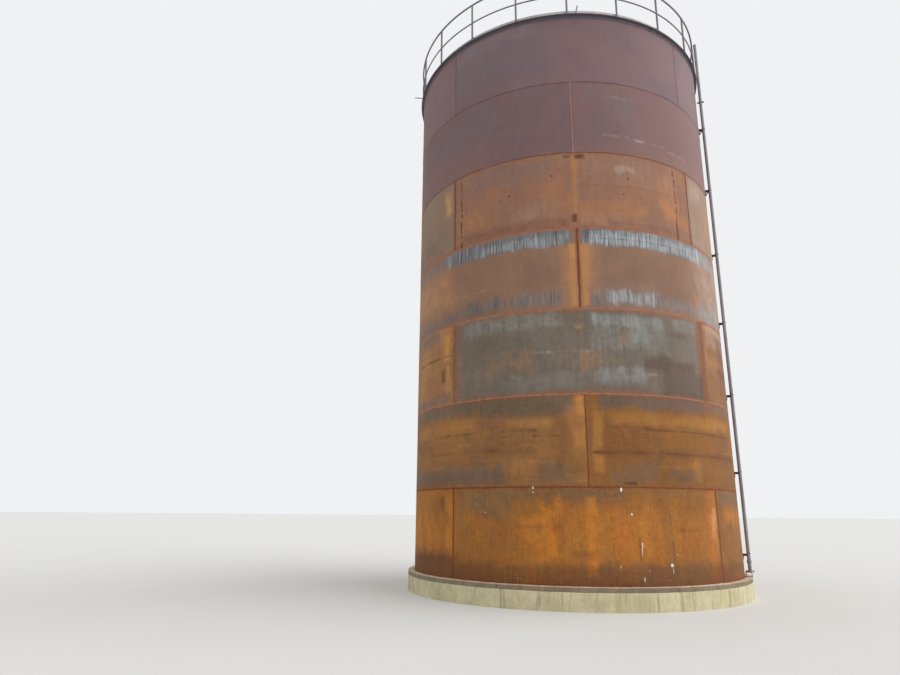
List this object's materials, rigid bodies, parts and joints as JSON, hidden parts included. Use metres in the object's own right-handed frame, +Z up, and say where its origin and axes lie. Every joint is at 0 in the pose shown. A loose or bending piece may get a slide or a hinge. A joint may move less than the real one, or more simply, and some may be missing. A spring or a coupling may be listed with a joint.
{
  "type": "vertical storage tank",
  "caption": "Tall round welded steel storage tank in staggered rusty plates, on a low round plinth, with a tube guard rail round its low cone roof.",
  "frame": {"origin": "on the tank's axis, at the underside of the plinth", "axes": "+Z up along the tank's axis, -Y through the upright weld of the even courses that faces the viewer, +X to that viewer's right"},
  "size_m": [7.977, 8.2498, 14.1494],
  "materials": {
    "plinth_concrete": "cast concrete, matt",
    "foot_steel": "bare rusted steel, matt",
    "course_1_rust": "bare rusted steel, matt",
    "course_2_rust": "bare rusted steel, matt",
    "course_3_rust": "mill scale over rust, matt",
    "course_4_rust": "bare rusted steel, matt",
    "course_5_rust": "bare rusted steel, matt",
    "course_6_rust": "mill scale over rust, matt",
    "course_7_rust": "mill scale over rust, matt",
    "rim_steel": "dark rusted steel, matt",
    "roof_steel": "bare rusted steel, matt",
    "rail_steel": "dull bare steel with light rust",
    "pipe_steel": "dull bare steel with light rust",
    "fitting_steel": "dull bare steel with light rust"
  },
  "bodies": {
    "root": {"plinth": "plinth_concrete", "bottom_plate": "foot_steel", "course_1_plate_1": "course_1_rust", "course_1_plate_2": "course_1_rust", "course_1_plate_3": "course_1_rust", "course_1_plate_4": "course_1_rust", "course_2_plate_1": "course_2_rust", "course_2_plate_2": "course_2_rust", "course_2_plate_3": "course_2_rust", "course_2_plate_4": "course_2_rust", "course_3_plate_1": "course_3_rust", "course_3_plate_2": "course_3_rust", "course_3_plate_3": "course_3_rust", "course_3_plate_4": "course_3_rust", "course_4_plate_1": "course_4_rust", "course_4_plate_2": "course_4_rust", "course_4_plate_3": "course_4_rust", "course_4_plate_4": "course_4_rust", "course_5_plate_1": "course_5_rust", "course_5_plate_2": "course_5_rust", "course_5_plate_3": "course_5_rust", "course_5_plate_4": "course_5_rust", "course_6_plate_1": "course_6_rust", "course_6_plate_2": "course_6_rust", "course_6_plate_3": "course_6_rust", "course_6_plate_4": "course_6_rust", "course_7_plate_1": "course_7_rust", "course_7_plate_2": "course_7_rust", "course_7_plate_3": "course_7_rust", "course_7_plate_4": "course_7_rust", "curb_ring": "rim_steel", "roof_left": "roof_steel", "roof_right": "roof_steel", "roof_nozzle": "fitting_steel", "roof_hatch_neck": "fitting_steel", "roof_hatch_cover": "fitting_steel", "guard_rail_1": "rail_steel", "guard_rail_2": "rail_steel", "guard_rail_3": "rail_steel", "guard_rail_4": "rail_steel", "walkway_landing": "rail_steel", "standpipe": "pipe_steel", "manway_neck": "fitting_steel", "manway_cover": "fitting_steel", "manway_davit": "fitting_steel"}
  },
  "joints": []
}
